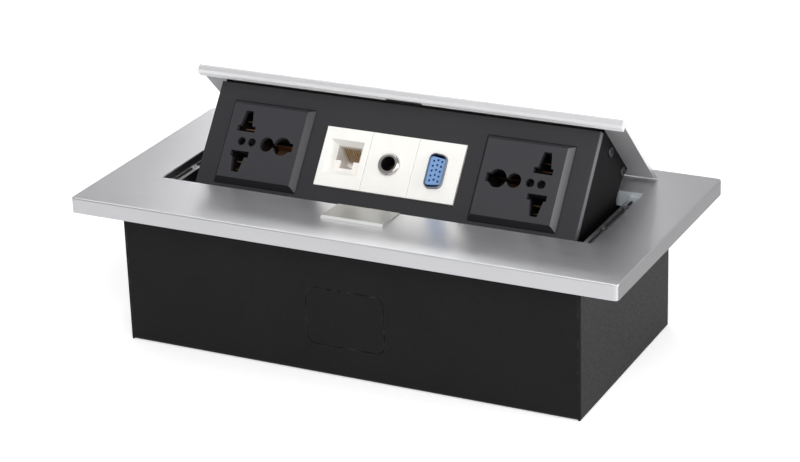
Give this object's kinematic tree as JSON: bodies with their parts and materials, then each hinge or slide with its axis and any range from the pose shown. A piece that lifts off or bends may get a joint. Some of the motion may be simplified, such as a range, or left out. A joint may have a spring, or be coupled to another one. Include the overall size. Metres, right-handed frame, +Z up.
{
  "type": "flip-up desk socket box",
  "caption": "Flip-up in-desk power strip: aluminium flange over a black box, with a hinged lid that carries power sockets and network, audio and video ports.",
  "frame": {"origin": "centre of the flange's outline, on the housing's flat underside", "axes": "+X along the length to the right of a user in front, +Y to the back where the hinge is, +Z up"},
  "size_m": [0.265, 0.1296, 0.1137],
  "materials": {
    "flange_aluminium": "satin anodised",
    "lid_aluminium": "satin anodised, brushed along its length",
    "tab_aluminium": "satin anodised",
    "foam_seal": "matt foam",
    "black_steel": "fine matt powder coat",
    "zinc_steel": "zinc plated",
    "screw_steel": "zinc plated",
    "pin_steel": "ground",
    "spring_steel": "oiled",
    "nylon": "natural nylon",
    "black_plastic": "fine moulded texture",
    "rubber": "moulded rubber",
    "panel_plastic": "fine moulded texture",
    "socket_plastic": "satin moulded",
    "base_plastic": "moulded",
    "brass": "stamped, bright",
    "white_plastic": "satin white",
    "jack_plastic": "moulded",
    "gold": "gold plated",
    "chrome": "polished",
    "shell_metal": "nickel plated",
    "blue_plastic": "moulded"
  },
  "bodies": {
    "housing": {"flange_frame": "flange_aluminium", "ledge_seal": "foam_seal", "housing_tray": "black_steel", "housing_end_left": "black_steel", "housing_end_right": "black_steel", "ledge_screws": "screw_steel", "cable_grommet_power": "rubber", "cable_grommet_data": "rubber", "bracket_screws": "screw_steel", "torsion_spring": "spring_steel", "damper_body": "black_plastic", "latch_guide": "zinc_steel", "guide_screws": "screw_steel", "latch_spring": "spring_steel", "hinge_bracket_left": "zinc_steel", "hinge_bracket_right": "zinc_steel", "hinge_bush_left": "nylon", "hinge_bush_right": "nylon"},
    "flip_module": {"lid_plate": "lid_aluminium", "rear_cover": "black_steel", "lid_bracket_left": "zinc_steel", "lid_bracket_right": "zinc_steel", "spring_collar": "zinc_steel", "end_plate_screws": "screw_steel", "socket_base_screws": "screw_steel", "terminal_screws": "screw_steel", "pivot_pin_left": "pin_steel", "pivot_pin_right": "pin_steel", "end_plate_left": "black_plastic", "end_plate_right": "black_plastic", "data_frame": "black_plastic", "audio_jack_body": "black_plastic", "stop_bumpers": "rubber", "socket_panel": "panel_plastic", "socket_cover_left": "socket_plastic", "socket_cover_right": "socket_plastic", "socket_base_left": "base_plastic", "socket_base_right": "base_plastic", "terminal_block": "base_plastic", "socket_contacts_left": "brass", "socket_contacts_right": "brass", "upper_busbar": "brass", "lower_busbar": "brass", "earth_busbar": "brass", "network_module": "white_plastic", "audio_module": "white_plastic", "video_module": "white_plastic", "network_jack": "jack_plastic", "network_contacts": "gold", "audio_jack_nut": "chrome", "video_shell": "shell_metal", "video_insert": "blue_plastic"},
    "latch": {"latch_tab": "tab_aluminium", "latch_carrier": "zinc_steel", "latch_leaf": "spring_steel", "latch_screw": "screw_steel"}
  },
  "joints": [
    {"name": "lid_flip", "type": "hinge", "parent": "housing", "child": "flip_module", "pos_m": [0, 0.0441, 0.0471], "axis": [1, 0, 0], "range_deg": [0, 45], "stiffness_Nm_per_rad": 0.2, "springref_deg": -80.21, "deforming": ["torsion_spring", "latch_leaf"]},
    {"name": "latch_pull", "type": "slide", "parent": "housing", "child": "latch", "axis": [0, -1, 0], "range_m": [0, 0.002], "stiffness_N_per_m": 300, "springref_m": -0.004, "deforming": ["latch_spring"]}
  ]
}
